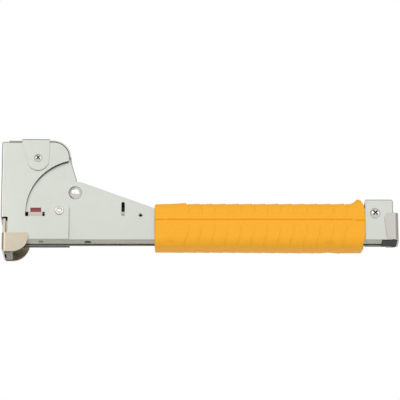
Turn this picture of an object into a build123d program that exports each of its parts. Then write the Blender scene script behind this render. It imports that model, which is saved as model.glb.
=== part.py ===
"""Hammer tacker (staple gun) as an assembly of its real pieces, in millimetres.

Side views are drawn on the plane "side": its x runs back from the front of the head, and its y
runs up from the bottom edge of the side plates. "plan" and "end" share that datum. The model's
origin is the middle of the strike face, the underside of the nose.
"""
from build123d import *
from math import asin, cos, radians, sin, sqrt
import os

os.makedirs("parts", exist_ok=True)

# ---- driving dimensions ----
nose_to_front = 8.0        # strike face centre, behind the front of the head
strike_depth = 12.3        # strike face, below the bottom edge of the side plates
length = 350.0             # front of the head to the back of the pusher cap
sheet = 1.2                # steel sheet of the body pieces
bend = 1.8                 # outer bend radius of that sheet

shell_half = 10.3          # half width over the body shell
cover_half = 13.6          # half width over the head cover
strap_half = 14.9          # half width over the saddle strap
ear_in, ear_out = 13.9, 16.1      # inner and outer faces of the nose foot's ears
magazine_half = 6.2
magazine_bottom, magazine_top = 0.6, 13.8
rail_half = 3.9

handle_top = 29.3          # top of the body shell inside the grip
grip_front, grip_back = 135.5, 320.5
grip_half, grip_bottom, grip_top = 15.5, -6.8, 33.8
housing_front, housing_back = 320.7, 345.4
housing_half, housing_top = 11.6, 36.7

head_top = 88.9            # top edge of the head cover's side plates
shoulder = (45.0, 74.4)    # centre of the rounded shoulder at the top back of the head
shoulder_r = head_top - shoulder[1]
window_arc = (70.0, 24.6)  # centre of the arc that bounds the head cover
window_r = 48.2
wedge_start, wedge_end = (69.8, 53.0), (133.7, 29.3)
back_top = (60.95, 74.0)   # top of the shell's back wall

pivot = (329.5, 23.6)      # axis on which the magazine tilts
rivet = (65.3, 43.0)       # big domed rivet
cover_rivet = (51.6, 25.5)
saddle_screw = (32.3, 73.8)
limit = (107.5, 22.75)     # pin that limits the magazine's tilt
rod_height = 6.3
mouth_x = 5.65             # front end of the magazine channel
seat_x = 90.0              # return spring

datum = Vector(-nose_to_front, 0, strike_depth)
side = Plane(origin=datum, x_dir=(1, 0, 0), z_dir=(0, -1, 0))
plan = Plane(origin=datum, x_dir=(1, 0, 0), z_dir=(0, 0, 1))
end = Plane(origin=datum, x_dir=(0, 1, 0), z_dir=(1, 0, 0))


def across(x, z):
    """Half-section plane of a piece that is round about a crosswise axis: x is radius, y is Y."""
    return Plane(origin=datum + Vector(x, 0, z))


def cross_axis(x, z):
    return Axis(datum + Vector(x, 0, z), (0, 1, 0))


def dome_middle(base, rim, crown):
    """Point halfway round a spherical dome, from its rim to its crown on the axis."""
    ball = (base**2 + (crown - rim)**2) / (2 * (crown - rim))
    turn = asin(base / ball) / 2
    return ball * sin(turn), crown - ball + ball * cos(turn)


def edges_at(part, direction, **limits):
    """Edges along a direction whose middle lies inside the given box, in the datum's coordinates."""
    chosen = ShapeList()
    for edge in part.edges().filter_by(direction):
        middle = edge.center() - datum
        inside = all(low <= getattr(middle, axis) <= high for axis, (low, high) in limits.items())
        if inside:
            chosen.append(edge)
    return chosen


# ---- head cover: front wall, side plates with the arc cut, lower band and a top lip ----
lip_back, lip_top = 6.0, head_top + 1.0
notch_back, notch_top = 6.4, 19.8
band_back, band_bottom = 60.0, -0.5
slot_front, slot_back, slot_bottom, slot_top = 21.6, 38.9, 20.3, 24.3
lobe_r = 9.3
lobe_left = cover_rivet[0] - sqrt(lobe_r**2 - (slot_top - cover_rivet[1])**2)
lobe_right_z = cover_rivet[1] + sqrt(lobe_r**2 - (band_back - cover_rivet[0])**2)
arc_end_x = 59.3
arc_end_z = window_arc[1] + sqrt(window_r**2 - (window_arc[0] - arc_end_x)**2)
shoulder_x = shoulder[0] + shoulder_r
diagonal = sqrt(0.5)

with BuildPart() as head_cover:
    with BuildSketch(side):
        with BuildLine():
            Polyline((0, notch_top), (notch_back, notch_top), (notch_back, band_bottom),
                     (band_back, band_bottom), (band_back, lobe_right_z))
            ThreePointArc((band_back, lobe_right_z), (cover_rivet[0], cover_rivet[1] + lobe_r),
                          (lobe_left, slot_top))
            Polyline((lobe_left, slot_top), (slot_back, slot_top), (slot_back, slot_bottom),
                     (slot_front, slot_bottom), (slot_front, window_arc[1]),
                     (window_arc[0] - window_r, window_arc[1]))
            ThreePointArc((window_arc[0] - window_r, window_arc[1]),
                          (window_arc[0] - window_r * diagonal, window_arc[1] + window_r * diagonal),
                          (arc_end_x, arc_end_z))
            Polyline((arc_end_x, arc_end_z), (shoulder_x, shoulder[1]))
            ThreePointArc((shoulder_x, shoulder[1]),
                          (shoulder[0] + shoulder_r * diagonal, shoulder[1] + shoulder_r * diagonal),
                          (shoulder[0], head_top))
            Polyline((shoulder[0], head_top), (lip_back, head_top), (lip_back, lip_top),
                     (0, lip_top), (0, notch_top))
        make_face()
    extrude(amount=cover_half, both=True)
    front_corners = edges_at(head_cover.part, Axis.Z, X=(-0.1, 0.1))
    top_corners = edges_at(head_cover.part, Axis.X, X=(0, lip_back), Z=(lip_top - 0.1, lip_top + 0.1))
    top_front = edges_at(head_cover.part, Axis.Y, X=(-0.1, 0.1), Z=(lip_top - 0.1, lip_top + 0.1))
    fillet(front_corners + top_corners + top_front, bend)
    with BuildSketch(plan.offset(-10)) as hollow:
        with Locations((sheet + 50, 0)):
            RectangleRounded(100, 2 * (cover_half - sheet), bend - sheet)
    extrude(amount=10 + lip_top - sheet, mode=Mode.SUBTRACT)
    with BuildSketch(plan.offset(head_top - 5)):
        with Locations((lip_back + 50, 0)):
            Rectangle(100, 2 * (cover_half - sheet))
    extrude(amount=20, mode=Mode.SUBTRACT)
    # small radius in the corner of the front notch
    fillet(edges_at(head_cover.part, Axis.Y, X=(notch_back - 0.1, notch_back + 0.1),
                    Z=(notch_top - 0.1, notch_top + 0.1)), 1.0)
    with BuildSketch(side):
        with Locations(cover_rivet):
            Circle(1.65)
    extrude(amount=cover_half + 1, both=True, mode=Mode.SUBTRACT)
    # clearance for the saddle screws
    with BuildSketch(side):
        with Locations(saddle_screw):
            Circle(2.0)
    extrude(amount=cover_half + 1, both=True, mode=Mode.SUBTRACT)

head_cover.part.label = "head_cover"
export_step(head_cover.part, "parts/head_cover.step")

# ---- body shell: sector plates, wedge and handle channel in one folded sheet ----
shell_front, shell_back = 11.5, 338.0
sector_r = window_r + 3.3
web_back = 316.0
wedge_slope = (wedge_end[1] - wedge_start[1]) / (wedge_end[0] - wedge_start[0])
back_foot = (67.3, wedge_start[1])
hat_front, hat_back, hat_mid, hat_top = 26.0, 35.4, 25.3, 29.1
limit_slot = (107.6, 27.9)
limit_slot_long, limit_slot_wide = 13.0, 3.0
back_drop = 1.25           # the back wall's inner face, measured level

with BuildPart() as body_shell:
    with BuildSketch(side):
        with BuildLine():
            Polyline((window_arc[0] - sector_r, window_arc[1]), (shell_front, 16), (shell_front, 0),
                     (shell_back, 0), (shell_back, handle_top), wedge_end, wedge_start, back_foot,
                     back_top, (back_top[0] - 0.6, back_top[1] + 0.9))
            arc_from = (back_top[0] - 0.6, back_top[1] + 0.9)
            ThreePointArc(arc_from,
                          (window_arc[0] - sector_r * diagonal, window_arc[1] + sector_r * diagonal),
                          (window_arc[0] - sector_r, window_arc[1]))
        make_face()
    extrude(amount=shell_half, both=True)
    fillet(edges_at(body_shell.part, Axis.X, Z=(handle_top - 0.1, handle_top + 0.1)), bend)
    long_edges = ShapeList()
    for edge in body_shell.part.edges():
        middle = edge.center() - datum
        on_wedge = abs(middle.Z - (wedge_start[1] + wedge_end[1]) / 2) < 0.2
        on_back = abs(middle.Z - (back_foot[1] + back_top[1]) / 2) < 0.2
        if abs(abs(middle.Y) - shell_half) < 0.01 and (on_wedge or on_back) and middle.X > 60:
            long_edges.append(edge)
    fillet(long_edges, bend)
    with BuildSketch(side):
        with BuildLine():
            Polyline((0, -5), (shell_back + 5, -5), (shell_back + 5, handle_top - sheet),
                     (wedge_end[0] - 0.2, handle_top - sheet),
                     (wedge_start[0] - 0.4, wedge_start[1] - sheet - 0.08),
                     (back_foot[0] - back_drop, wedge_start[1] - sheet - 0.08),
                     (back_foot[0] - back_drop, wedge_start[1]),
                     (back_top[0] - back_drop, back_top[1]), (back_top[0] - back_drop, 90), (0, 90), close=True)
        make_face()
    extrude(amount=shell_half - sheet, both=True, mode=Mode.SUBTRACT)
    # the web stops short of the pivot
    with BuildSketch(side):
        with Locations((web_back + 20, handle_top)):
            Rectangle(40, 3 * sheet)
    extrude(amount=shell_half - sheet, both=True, mode=Mode.SUBTRACT)
    # windows for the bumper and its bars, slot for the limit pin, and round holes
    with BuildSketch(side):
        with BuildLine():
            Polyline((slot_front, slot_bottom), (slot_back, slot_bottom), (slot_back, hat_mid),
                     (hat_back, hat_mid), (hat_back, hat_top), (hat_front, hat_top),
                     (hat_front, hat_mid), (slot_front, hat_mid), close=True)
        make_face()
        with Locations((123.0, 22.1)):
            Circle(1.9)
        with Locations(rivet):
            Circle(3.02)
        with Locations(cover_rivet):
            Circle(1.65)
        with Locations(pivot):
            Circle(2.05)
    extrude(amount=shell_half + 1, both=True, mode=Mode.SUBTRACT)
    # the limit pin's slot is in the near plate only
    with BuildSketch(side):
        with Locations(limit_slot):
            SlotOverall(limit_slot_long, limit_slot_wide, rotation=90)
    extrude(amount=shell_half + 1, mode=Mode.SUBTRACT)
    # bend relief where the wedge meets the back wall
    with BuildSketch(side):
        with Locations((back_foot[0] - 1.2, back_foot[1] + 2.2)):
            SlotOverall(4.6, 1.7, rotation=107)
    extrude(amount=shell_half + 1, both=True, mode=Mode.SUBTRACT)

body_shell.part.label = "body_shell"
export_step(body_shell.part, "parts/body_shell.step")

# ---- back band: the strip over the top and shoulder of the head, with two flanges inside the cover ----
band_gap = 0.8
band_half = 13.4
flange_out = cover_half - sheet - 0.2
band_in_r = shoulder_r + band_gap
band_out_r = band_in_r + sheet
strip_front = 6.3

with BuildPart() as back_band:
    with BuildSketch(side):
        with BuildLine():
            Line((strip_front, shoulder[1] + band_in_r), (shoulder[0], shoulder[1] + band_in_r))
            ThreePointArc((shoulder[0], shoulder[1] + band_in_r),
                          (shoulder[0] + band_in_r * diagonal, shoulder[1] + band_in_r * diagonal),
                          (shoulder[0] + band_in_r, shoulder[1] + 0.6))
            Line((shoulder[0] + band_in_r, shoulder[1] + 0.6), (shoulder[0] + band_out_r, shoulder[1] + 0.6))
            ThreePointArc((shoulder[0] + band_out_r, shoulder[1] + 0.6),
                          (shoulder[0] + band_out_r * diagonal, shoulder[1] + band_out_r * diagonal),
                          (shoulder[0], shoulder[1] + band_out_r))
            Line((shoulder[0], shoulder[1] + band_out_r), (strip_front, shoulder[1] + band_out_r))
            Line((strip_front, shoulder[1] + band_out_r), (strip_front, shoulder[1] + band_in_r))
        make_face()
    extrude(amount=band_half, both=True)
    with BuildSketch(side):
        with Locations((saddle_screw[0], (66 + head_top + band_gap + 0.3) / 2)):
            Rectangle(17, head_top + band_gap + 0.3 - 66)
        with Locations(saddle_screw):
            Circle(2.0, mode=Mode.SUBTRACT)
    extrude(amount=flange_out, both=True)
    with BuildSketch(side):
        with Locations((saddle_screw[0], head_top + band_gap - 15)):
            Rectangle(20, 30)
    extrude(amount=flange_out - sheet, both=True, mode=Mode.SUBTRACT)

back_band.part.label = "back_band"
export_step(back_band.part, "parts/back_band.step")

# ---- saddle strap over the head, with a rounded tongue on each side ----
strap_top = shoulder[1] + band_out_r + sheet
tongue = (32.3, 72.0)
tongue_r = 9.4

with BuildPart() as saddle_strap:
    with BuildSketch(side):
        with BuildLine():
            Polyline((tongue[0] + tongue_r, tongue[1]), (42.3, 88.5), (42.3, strap_top), (17.8, strap_top),
                     (18.2, 88.5), (tongue[0] - 8.55, tongue[1] - 3.9))
            ThreePointArc((tongue[0] - 8.55, tongue[1] - 3.9), (tongue[0], tongue[1] - tongue_r),
                          (tongue[0] + tongue_r, tongue[1]))
        make_face()
    extrude(amount=strap_half, both=True)
    fillet(edges_at(saddle_strap.part, Axis.X, Z=(strap_top - 0.1, strap_top + 0.1)), bend + 0.2)
    with BuildSketch(end):
        with Locations((0, strap_top - sheet - 25)):
            Rectangle(2 * (strap_half - sheet), 50)
    extrude(amount=60, mode=Mode.SUBTRACT)
    with BuildSketch(side):
        with Locations(saddle_screw):
            Circle(2.0)
    extrude(amount=strap_half + 1, both=True, mode=Mode.SUBTRACT)

saddle_strap.part.label = "saddle_strap"
export_step(saddle_strap.part, "parts/saddle_strap.step")


def cross_recess(x, z, head_face, depth, size):
    """Cross-shaped driver recess in a screw head whose crown is at Y = head_face (negative: near side)."""
    outward = -1 if head_face < 0 else 1
    plane = Plane(origin=datum + Vector(x, head_face, z), x_dir=(1, 0, 0), z_dir=(0, outward, 0))
    with BuildSketch(plane) as cross:
        Rectangle(size, size * 0.27, rotation=45)
        Rectangle(size, size * 0.27, rotation=-45)
    extrude(cross.sketch, amount=-depth, mode=Mode.SUBTRACT)


# ---- saddle screws: one from each side into the head spacer ----
screw_r, screw_crown = 3.6, 1.9
screw_tip = 5.0

with BuildPart() as saddle_screws:
    for face in (1, -1):
        with BuildSketch(across(*saddle_screw)):
            with BuildLine():
                Polyline((0, face * screw_tip), (1.9, face * screw_tip), (1.9, face * strap_half),
                         (screw_r, face * strap_half), (screw_r, face * (strap_half + 0.5)))
                arc_r, arc_y = dome_middle(screw_r, strap_half + 0.5, strap_half + screw_crown)
                ThreePointArc((screw_r, face * (strap_half + 0.5)), (arc_r, face * arc_y),
                              (0, face * (strap_half + screw_crown)))
                Line((0, face * (strap_half + screw_crown)), (0, face * screw_tip))
            make_face()
        revolve(axis=cross_axis(*saddle_screw))
        cross_recess(*saddle_screw, face * (strap_half + screw_crown), 1.6, 4.2)

saddle_screws.part.label = "saddle_screws"
export_step(saddle_screws.part, "parts/saddle_screws.step")

# ---- head spacer: threaded bar between the flanges, which carries the driver holder ----
spacer_half = flange_out - sheet - 0.05

with BuildPart() as head_spacer:
    with BuildSketch(side):
        with Locations(saddle_screw):
            Circle(3.4)
    extrude(amount=spacer_half, both=True)
    with BuildSketch(side.offset(-spacer_half)):
        with Locations(saddle_screw):
            Circle(1.95)
    extrude(amount=spacer_half - screw_tip + 0.4, mode=Mode.SUBTRACT)
    with BuildSketch(side.offset(spacer_half)):
        with Locations(saddle_screw):
            Circle(1.95)
    extrude(amount=-(spacer_half - screw_tip + 0.4), mode=Mode.SUBTRACT)

head_spacer.part.label = "head_spacer"
export_step(head_spacer.part, "parts/head_spacer.step")

# ---- driver blade, its holder and its rivets ----
blade_front, blade_back = 3.7, 4.65
blade_half, blade_tip, blade_top = 5.1, 13.35, 84.0
holder_back, holder_bottom = 8.2, 46.0
blade_rivet_z = (53.0, 79.0)

with BuildPart() as driver_blade:
    with BuildSketch(end.offset(blade_front)):
        with Locations((0, (blade_tip + blade_top) / 2)):
            Rectangle(2 * blade_half, blade_top - blade_tip)
        with Locations(*[(0, z) for z in blade_rivet_z]):
            Circle(1.5, mode=Mode.SUBTRACT)
    extrude(amount=blade_back - blade_front)

driver_blade.part.label = "driver_blade"
export_step(driver_blade.part, "parts/driver_blade.step")

with BuildPart() as driver_holder:
    with BuildSketch(side):
        with BuildLine():
            Polyline((blade_back, holder_bottom), (holder_back, holder_bottom), (holder_back, 66),
                     (saddle_screw[0], saddle_screw[1] - 6))
            ThreePointArc((saddle_screw[0], saddle_screw[1] - 6), (saddle_screw[0] + 6, saddle_screw[1]),
                          (saddle_screw[0], saddle_screw[1] + 6))
            Polyline((saddle_screw[0], saddle_screw[1] + 6), (holder_back, 82), (holder_back, blade_top),
                     (blade_back, blade_top), (blade_back, holder_bottom))
        make_face()
        with Locations(saddle_screw):
            Circle(3.42, mode=Mode.SUBTRACT)
    extrude(amount=6.5, both=True)
    with BuildSketch(end.offset(blade_back)):
        with Locations(*[(0, z) for z in blade_rivet_z]):
            Circle(1.5)
    extrude(amount=holder_back - blade_back, mode=Mode.SUBTRACT)

driver_holder.part.label = "driver_holder"
export_step(driver_holder.part, "parts/driver_holder.step")

with BuildPart() as blade_rivets:
    with BuildSketch(end.offset(blade_front - 1.0)):
        with Locations(*[(0, z) for z in blade_rivet_z]):
            Circle(2.6)
    extrude(amount=1.0)
    with BuildSketch(end.offset(blade_front)):
        with Locations(*[(0, z) for z in blade_rivet_z]):
            Circle(1.48)
    extrude(amount=holder_back - blade_front - 0.1)

blade_rivets.part.label = "blade_rivets"
export_step(blade_rivets.part, "parts/blade_rivets.step")

# ---- big domed rivet through the shell, and the spacer tube around it ----
dome_r, dome_height = 5.93, 3.4

with BuildPart() as head_rivet:
    with BuildSketch(across(*rivet)):
        with BuildLine():
            arc_r, arc_y = dome_middle(dome_r, shell_half + 0.5, shell_half + dome_height)
            Line((0, -shell_half - dome_height), (0, shell_half + dome_height))
            ThreePointArc((0, shell_half + dome_height), (arc_r, arc_y), (dome_r, shell_half + 0.5))
            Polyline((dome_r, shell_half + 0.5), (dome_r - 0.25, shell_half), (3.0, shell_half),
                     (3.0, -shell_half), (dome_r - 0.25, -shell_half), (dome_r, -shell_half - 0.5))
            ThreePointArc((dome_r, -shell_half - 0.5), (arc_r, -arc_y), (0, -shell_half - dome_height))
        make_face()
    revolve(axis=cross_axis(*rivet))

head_rivet.part.label = "head_rivet"
export_step(head_rivet.part, "parts/head_rivet.step")

with BuildPart() as rivet_spacer:
    with BuildSketch(side):
        with Locations(rivet):
            Circle(5.0)
            Circle(3.03, mode=Mode.SUBTRACT)
    extrude(amount=shell_half - sheet - 0.02, both=True)

rivet_spacer.part.label = "rivet_spacer"
export_step(rivet_spacer.part, "parts/rivet_spacer.step")

# ---- roll pins, one in each side plate behind the limit slot ----
roll_pin_at = (123.0, 22.1)
pin_inner = 7.2            # clear of the magazine, which rises between the two pins

with BuildPart() as roll_pins:
    with BuildSketch(side):
        with Locations(roll_pin_at):
            Circle(1.88)
            Circle(1.2, mode=Mode.SUBTRACT)
            with Locations((1.5, 0)):
                Rectangle(1.6, 0.5, mode=Mode.SUBTRACT)
    extrude(amount=shell_half - 0.1, both=True)
    with BuildSketch(side):
        with Locations(roll_pin_at):
            Rectangle(6, 6)
    extrude(amount=pin_inner, both=True, mode=Mode.SUBTRACT)

roll_pins.part.label = "roll_pins"
export_step(roll_pins.part, "parts/roll_pins.step")

# ---- cover rivets, with spacers outside the shell and nuts inside it ----
cover_head_r, cup_r = 4.0, 2.7
cover_head, cup_floor = 1.7, 0.5

with BuildPart() as cover_rivets:
    for face in (1, -1):
        with BuildSketch(across(*cover_rivet)):
            with BuildLine():
                Polyline((0, face * 7.0), (1.6, face * 7.0), (1.6, face * cover_half),
                         (cover_head_r, face * cover_half), (cover_head_r, face * (cover_half + 0.6)))
                ThreePointArc((cover_head_r, face * (cover_half + 0.6)), (3.65, face * (cover_half + 1.4)),
                              (cup_r, face * (cover_half + cover_head)))
                arc_r, arc_y = dome_middle(cup_r, cover_half + cover_head, cover_half + cup_floor)
                ThreePointArc((cup_r, face * (cover_half + cover_head)), (arc_r, face * arc_y),
                              (0, face * (cover_half + cup_floor)))
                Line((0, face * (cover_half + cup_floor)), (0, face * 7.0))
            make_face()
        revolve(axis=cross_axis(*cover_rivet))

cover_rivets.part.label = "cover_rivets"
export_step(cover_rivets.part, "parts/cover_rivets.step")

with BuildPart() as cover_nuts:
    for face in (1, -1):
        with BuildSketch(across(*cover_rivet)):
            with Locations(((1.65 + 3.3) / 2, face * 7.9)):
                Rectangle(3.3 - 1.65, 2.35)
        revolve(axis=cross_axis(*cover_rivet))

cover_nuts.part.label = "cover_nuts"
export_step(cover_nuts.part, "parts/cover_nuts.step")

with BuildPart() as cover_spacers:
    for face in (1, -1):
        with BuildSketch(across(*cover_rivet)):
            with Locations(((1.65 + 4.6) / 2, face * (shell_half + cover_half - sheet) / 2)):
                Rectangle(4.6 - 1.65, cover_half - sheet - shell_half - 0.04)
        revolve(axis=cross_axis(*cover_rivet))

cover_spacers.part.label = "cover_spacers"
export_step(cover_spacers.part, "parts/cover_spacers.step")

# ---- urethane bumper above the magazine, and the two bars that hold it in the windows ----
bumper_front, bumper_back = 24.0, 38.0
bar_front, bar_back = 24.4, 36.8
bumper_clear = 28.0        # underside over the magazine's path

with BuildPart() as bumper:
    with BuildSketch(end.offset(bumper_front)):
        with BuildLine():
            inner, outer = magazine_half + 0.8, shell_half - sheet - 0.1
            Polyline((-outer, slot_top), (-inner, slot_top), (-inner, bumper_clear), (inner, bumper_clear),
                     (inner, slot_top), (outer, slot_top), (outer, 38), (-outer, 38), close=True)
        make_face()
    extrude(amount=bumper_back - bumper_front)
    with BuildSketch(side):
        with Locations(((hat_front + hat_back) / 2, (hat_mid + hat_top) / 2)):
            RectangleRounded(hat_back - hat_front - 1.2, hat_top - hat_mid - 0.9, 1.0)
    extrude(amount=shell_half - 0.3, both=True)
    with BuildSketch(end.offset(bumper_front)):
        with Locations((0, (bumper_clear + slot_top) / 2)):
            Rectangle(2 * (magazine_half + 0.8), bumper_clear - slot_top)
    extrude(amount=bumper_back - bumper_front, mode=Mode.SUBTRACT)

bumper.part.label = "bumper"
export_step(bumper.part, "parts/bumper.step")

with BuildPart() as bumper_bars:
    for face in (1, -1):
        low, high = magazine_half + 1.0, cover_half - 0.2
        with BuildSketch(end.offset(bar_front)):
            with Locations((face * (low + high) / 2, (slot_bottom + slot_top) / 2)):
                Rectangle(high - low, slot_top - slot_bottom - 0.1)
        extrude(amount=bar_back - bar_front)
    fillet(bumper_bars.part.edges().filter_by(Axis.Y), 0.5)

bumper_bars.part.label = "bumper_bars"
export_step(bumper_bars.part, "parts/bumper_bars.step")

# ---- return spring under the wedge, and the bracket above it ----
spring_low, spring_high = magazine_top + 1.2, 39.2
wire_r, spring_r = 0.8, 5.0
turns = 6

with BuildPart() as return_spring:
    with BuildLine() as coil:
        Helix(pitch=(spring_high - spring_low - 2 * wire_r) / turns,
              height=spring_high - spring_low - 2 * wire_r, radius=spring_r,
              center=datum + Vector(seat_x, 0, spring_low + wire_r))
    path = coil.wires()[0]
    with BuildSketch(Plane(origin=path @ 0, z_dir=path % 0)):
        Circle(wire_r)
    sweep(is_frenet=True)

return_spring.part.label = "return_spring"
export_step(return_spring.part, "parts/return_spring.step")

with BuildPart() as spring_bracket:
    reach, deep = 8.0, 5.0
    half = shell_half - sheet - 0.03
    with BuildSketch(end.offset(seat_x - reach)):
        with Locations((0, spring_high + sheet / 2)):
            Rectangle(2 * half, sheet)
        with Locations((half - sheet / 2, spring_high + sheet - deep / 2),
                       (-half + sheet / 2, spring_high + sheet - deep / 2)):
            Rectangle(sheet, deep)
    extrude(amount=2 * reach)

spring_bracket.part.label = "spring_bracket"
export_step(spring_bracket.part, "parts/spring_bracket.step")

# ---- rubber grip, a sleeve over the handle channel ----
grip_corner = 9.0
flare_start, flare_top = 304.0, 38.0

with BuildPart() as grip:
    with BuildSketch(end.offset(grip_front)):
        with Locations((0, (grip_top + grip_bottom) / 2)):
            RectangleRounded(2 * grip_half, grip_top - grip_bottom, grip_corner)
    extrude(amount=grip_back - grip_front)
    with BuildSketch(side):
        with BuildLine():
            Polyline((flare_start, grip_top - 2), (flare_start, grip_top))
            ThreePointArc((flare_start, grip_top), (flare_start + 8.5, grip_top + 1.2),
                          (grip_back - 2.6, flare_top))
            Polyline((grip_back - 2.6, flare_top), (grip_back, grip_top - 1), (grip_back, grip_top - 6),
                     (flare_start, grip_top - 2))
        make_face()
    extrude(amount=11.5, both=True)
    with BuildSketch(side):
        with Locations(((grip_front + grip_back) / 2, (handle_top - 0.1) / 2)):
            Rectangle(grip_back - grip_front + 2, handle_top + 0.3)
    extrude(amount=shell_half + 0.08, both=True, mode=Mode.SUBTRACT)

grip.part.label = "grip"
export_step(grip.part, "parts/grip.step")

# ---- rear housing: a folded cap over the end of the handle channel ----
port_top = 24.8            # top of the opening for the pusher

with BuildPart() as rear_housing:
    with BuildSketch(side):
        with BuildLine():
            Polyline((housing_front, -0.4), (housing_back - 1.0, -0.4), (housing_back - 1.0, port_top),
                     (housing_back, port_top), (housing_back, housing_top), (housing_front, housing_top),
                     close=True)
        make_face()
    extrude(amount=housing_half, both=True)
    fillet(edges_at(rear_housing.part, Axis.Y, X=(housing_back - 0.1, housing_back + 0.1),
                    Z=(housing_top - 0.1, housing_top + 0.1)), 2.2)
    outline = ShapeList()
    for edge in rear_housing.part.edges():
        middle = edge.center() - datum
        high_or_back = middle.Z > housing_top - 2.5 or (middle.X > housing_back - 0.8 and middle.Z > port_top + 1)
        if abs(abs(middle.Y) - housing_half) < 0.01 and high_or_back and middle.X > housing_front + 0.1:
            outline.append(edge)
    fillet(outline, bend)
    with BuildSketch(side):
        with BuildLine():
            Polyline((housing_front - 1, -5), (housing_back + 5, -5), (housing_back + 5, port_top),
                     (housing_back - sheet, port_top), (housing_back - sheet, housing_top - sheet),
                     (housing_front - 1, housing_top - sheet), close=True)
        make_face()
    extrude(amount=housing_half - sheet, both=True, mode=Mode.SUBTRACT)
    with BuildSketch(side):
        with Locations(pivot):
            Circle(2.05)
    extrude(amount=housing_half + 1, both=True, mode=Mode.SUBTRACT)

rear_housing.part.label = "rear_housing"
export_step(rear_housing.part, "parts/rear_housing.step")

# ---- pivot: screw from the near side, nut on the far side, bushing between the shell plates ----
pivot_head_r = 4.55
nut_thick = 2.8

with BuildPart() as pivot_screw:
    with BuildSketch(across(*pivot)):
        with BuildLine():
            Polyline((0, housing_half + nut_thick), (2.0, housing_half + nut_thick), (2.0, -housing_half),
                     (pivot_head_r, -housing_half), (pivot_head_r, -housing_half - 0.6))
            arc_r, arc_y = dome_middle(pivot_head_r, housing_half + 0.6, housing_half + 2.4)
            ThreePointArc((pivot_head_r, -housing_half - 0.6), (arc_r, -arc_y), (0, -housing_half - 2.4))
            Line((0, -housing_half - 2.4), (0, housing_half + nut_thick))
        make_face()
    revolve(axis=cross_axis(*pivot))
    cross_recess(*pivot, -housing_half - 2.4, 2.0, 5.2)

pivot_screw.part.label = "pivot_screw"
export_step(pivot_screw.part, "parts/pivot_screw.step")

with BuildPart() as pivot_nut:
    with BuildSketch(side.offset(-housing_half)):
        with Locations(pivot):
            RegularPolygon(4.0, 6)
            Circle(2.03, mode=Mode.SUBTRACT)
    extrude(amount=-nut_thick)
    chamfer(edges_at(pivot_nut.part, Axis.X, Y=(housing_half + nut_thick - 0.1, housing_half + 5)), 0.4)

pivot_nut.part.label = "pivot_nut"
export_step(pivot_nut.part, "parts/pivot_nut.step")

with BuildPart() as pivot_bushing:
    with BuildSketch(side):
        with Locations(pivot):
            Circle(3.0)
            Circle(2.05, mode=Mode.SUBTRACT)
    extrude(amount=shell_half - sheet - 0.03, both=True)

pivot_bushing.part.label = "pivot_bushing"
export_step(pivot_bushing.part, "parts/pivot_bushing.step")

# ---- magazine: closed-bottom channel, lid strip, core rail and the rivets that hold it ----
wall = 0.9
channel_back = 341.0
floor = magazine_bottom + wall
rail_rivet_x = (35.4, 180.0, 300.0)
rail_top, rail_back = 11.1, 334.0

with BuildPart() as magazine_channel:
    with BuildSketch(end.offset(mouth_x)):
        with Locations((0, (magazine_bottom + magazine_top) / 2)):
            Rectangle(2 * magazine_half, magazine_top - magazine_bottom)
        with Locations((0, (floor + magazine_top + 1) / 2)):
            Rectangle(2 * (magazine_half - wall), magazine_top + 1 - floor, mode=Mode.SUBTRACT)
    extrude(amount=channel_back - mouth_x)
    with BuildSketch(plan):
        with Locations((76.4, 0)):
            Circle(3.4)
        with Locations(*[(x, 0) for x in rail_rivet_x]):
            Circle(1.52)
    extrude(amount=floor + 0.2, mode=Mode.SUBTRACT)
    fillet(edges_at(magazine_channel.part, Axis.X, Z=(magazine_bottom - 0.1, magazine_bottom + 0.1)), 1.0)

magazine_channel.part.label = "magazine_channel"
export_step(magazine_channel.part, "parts/magazine_channel.step")

with BuildPart() as magazine_lid:
    with BuildSketch(plan.offset(magazine_top - wall)):
        with Locations(((8 + 305) / 2, 0)):
            Rectangle(305 - 8, 2 * (magazine_half - wall) - 0.04)
    extrude(amount=wall)

magazine_lid.part.label = "magazine_lid"
export_step(magazine_lid.part, "parts/magazine_lid.step")

with BuildPart() as core_rail:
    with BuildSketch(end.offset(mouth_x + 1.2)):
        with Locations((0, (floor + rail_top) / 2)):
            Rectangle(2 * rail_half, rail_top - floor)
        with Locations((0, (floor + wall + rail_top + 1) / 2)):
            Rectangle(2 * (rail_half - wall), rail_top + 1 - floor - wall, mode=Mode.SUBTRACT)
    extrude(amount=rail_back - mouth_x - 1.2)
    with BuildSketch(plan.offset(floor - 0.1)):
        with Locations((76.4, 0)):
            Circle(2.4)
        with Locations(*[(x, 0) for x in rail_rivet_x]):
            Circle(1.52)
    extrude(amount=wall + 0.3, mode=Mode.SUBTRACT)

core_rail.part.label = "core_rail"
export_step(core_rail.part, "parts/core_rail.step")

with BuildPart() as rail_rivets:
    with BuildSketch(plan.offset(magazine_bottom - 0.5)):
        with Locations(*[(x, 0) for x in rail_rivet_x]):
            Circle(2.2)
    extrude(amount=0.5)
    with BuildSketch(plan.offset(magazine_bottom)):
        with Locations(*[(x, 0) for x in rail_rivet_x]):
            Circle(1.5)
    extrude(amount=2 * wall + 0.3)
    fillet(rail_rivets.part.faces().sort_by(Axis.Z)[0:3].edges(), 0.35)

rail_rivets.part.label = "rail_rivets"
export_step(rail_rivets.part, "parts/rail_rivets.step")

# ---- staples: one glued stick, with a groove between each pair of wires ----
wire = 1.27
staple_count = 84
staple_front = mouth_x + 0.1
crown_z = (rail_top + 0.1, rail_top + 1.3)
leg_in, leg_out, leg_tip = rail_half + 0.12, magazine_half - wall - 0.12, 2.2
stick_back = staple_front + staple_count * wire

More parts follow.
